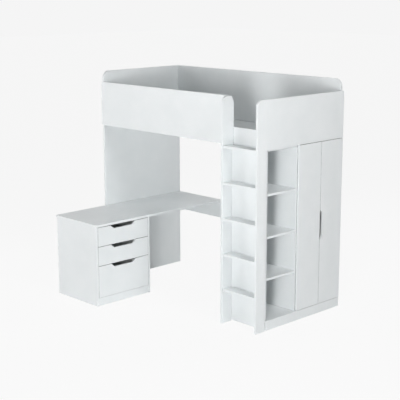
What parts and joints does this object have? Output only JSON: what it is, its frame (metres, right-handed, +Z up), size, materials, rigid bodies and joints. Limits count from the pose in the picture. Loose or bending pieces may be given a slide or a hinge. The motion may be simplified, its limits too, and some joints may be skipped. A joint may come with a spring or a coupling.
{
  "type": "high sleeper bed",
  "caption": "High sleeper bed with solid guard panels, an upright ladder, a desk with a drawer unit, open shelves and a wardrobe under the bunk.",
  "frame": {"origin": "middle of the floor rectangle that the whole bed covers, on the floor", "axes": "+X along the bed from the tall gable to the ladder and wardrobe end, +Y from the ladder side to the wall side, +Z up"},
  "size_m": [2.07, 1.54, 2.003],
  "materials": {
    "white_foil_board": "white satin foil on particle board",
    "base_board_foil": "white matt foil on particle board",
    "drawer_box_foil": "light grey matt foil on fibre board",
    "zinc_steel": "zinc-plated pressed steel",
    "chrome_steel": "polished chrome",
    "white_nylon": "moulded nylon"
  },
  "bodies": {
    "carcass": {"base_board_1": "base_board_foil", "base_board_2": "base_board_foil", "base_board_3": "base_board_foil", "bed_rail": "white_foil_board", "cabinet_back": "white_foil_board", "cabinet_divider": "white_foil_board", "cabinet_floor": "white_foil_board", "cabinet_plinth": "white_foil_board", "cabinet_rear_side": "white_foil_board", "cabinet_side": "white_foil_board", "cabinet_top": "white_foil_board", "centre_beam": "base_board_foil", "clothes_rail": "chrome_steel", "desk_top": "white_foil_board", "door_catches": "white_nylon", "drawer_tracks": "zinc_steel", "front_guard": "white_foil_board", "front_ledge": "base_board_foil", "ladder_stile": "white_foil_board", "ladder_tread_1": "white_foil_board", "ladder_tread_2": "white_foil_board", "ladder_tread_3": "white_foil_board", "ladder_tread_4": "white_foil_board", "ladder_tread_5": "white_foil_board", "left_gable": "white_foil_board", "open_shelf_1": "white_foil_board", "open_shelf_2": "white_foil_board", "open_shelf_3": "white_foil_board", "pivot_bushes": "white_nylon", "rail_brackets": "chrome_steel", "rear_guard": "white_foil_board", "rear_ledge": "base_board_foil", "rear_stretcher": "white_foil_board", "right_gable": "white_foil_board", "shelf_pins": "zinc_steel", "unit_back": "white_foil_board", "unit_floor": "white_foil_board", "unit_front_end": "white_foil_board", "unit_plinth": "white_foil_board", "unit_rear_end": "white_foil_board", "wardrobe_shelf": "white_foil_board"},
    "left_door": {"left_door": "white_foil_board", "left_door_pivots": "zinc_steel"},
    "right_door": {"right_door": "white_foil_board", "right_door_pivots": "zinc_steel"},
    "drawer_1": {"drawer_1_front": "white_foil_board", "drawer_1_sides": "drawer_box_foil", "drawer_1_back": "drawer_box_foil", "drawer_1_bottom": "drawer_box_foil", "drawer_1_slides": "zinc_steel"},
    "drawer_2": {"drawer_2_front": "white_foil_board", "drawer_2_sides": "drawer_box_foil", "drawer_2_back": "drawer_box_foil", "drawer_2_bottom": "drawer_box_foil", "drawer_2_slides": "zinc_steel"},
    "drawer_3": {"drawer_3_front": "white_foil_board", "drawer_3_sides": "drawer_box_foil", "drawer_3_back": "drawer_box_foil", "drawer_3_bottom": "drawer_box_foil", "drawer_3_slides": "zinc_steel"}
  },
  "joints": [
    {"name": "left_door_hinge", "type": "hinge", "parent": "carcass", "child": "left_door", "pos_m": [1.024, 0.21, 0.8], "axis": [0, 0, -1], "range_deg": [0, 105]},
    {"name": "right_door_hinge", "type": "hinge", "parent": "carcass", "child": "right_door", "pos_m": [1.024, 0.762, 0.8], "axis": [0, 0, 1], "range_deg": [0, 105]},
    {"name": "drawer_1_slide", "type": "slide", "parent": "carcass", "child": "drawer_1", "axis": [1, 0, 0], "range_m": [0, 0.38]},
    {"name": "drawer_2_slide", "type": "slide", "parent": "carcass", "child": "drawer_2", "axis": [1, 0, 0], "range_m": [0, 0.38]},
    {"name": "drawer_3_slide", "type": "slide", "parent": "carcass", "child": "drawer_3", "axis": [1, 0, 0], "range_m": [0, 0.38]}
  ]
}
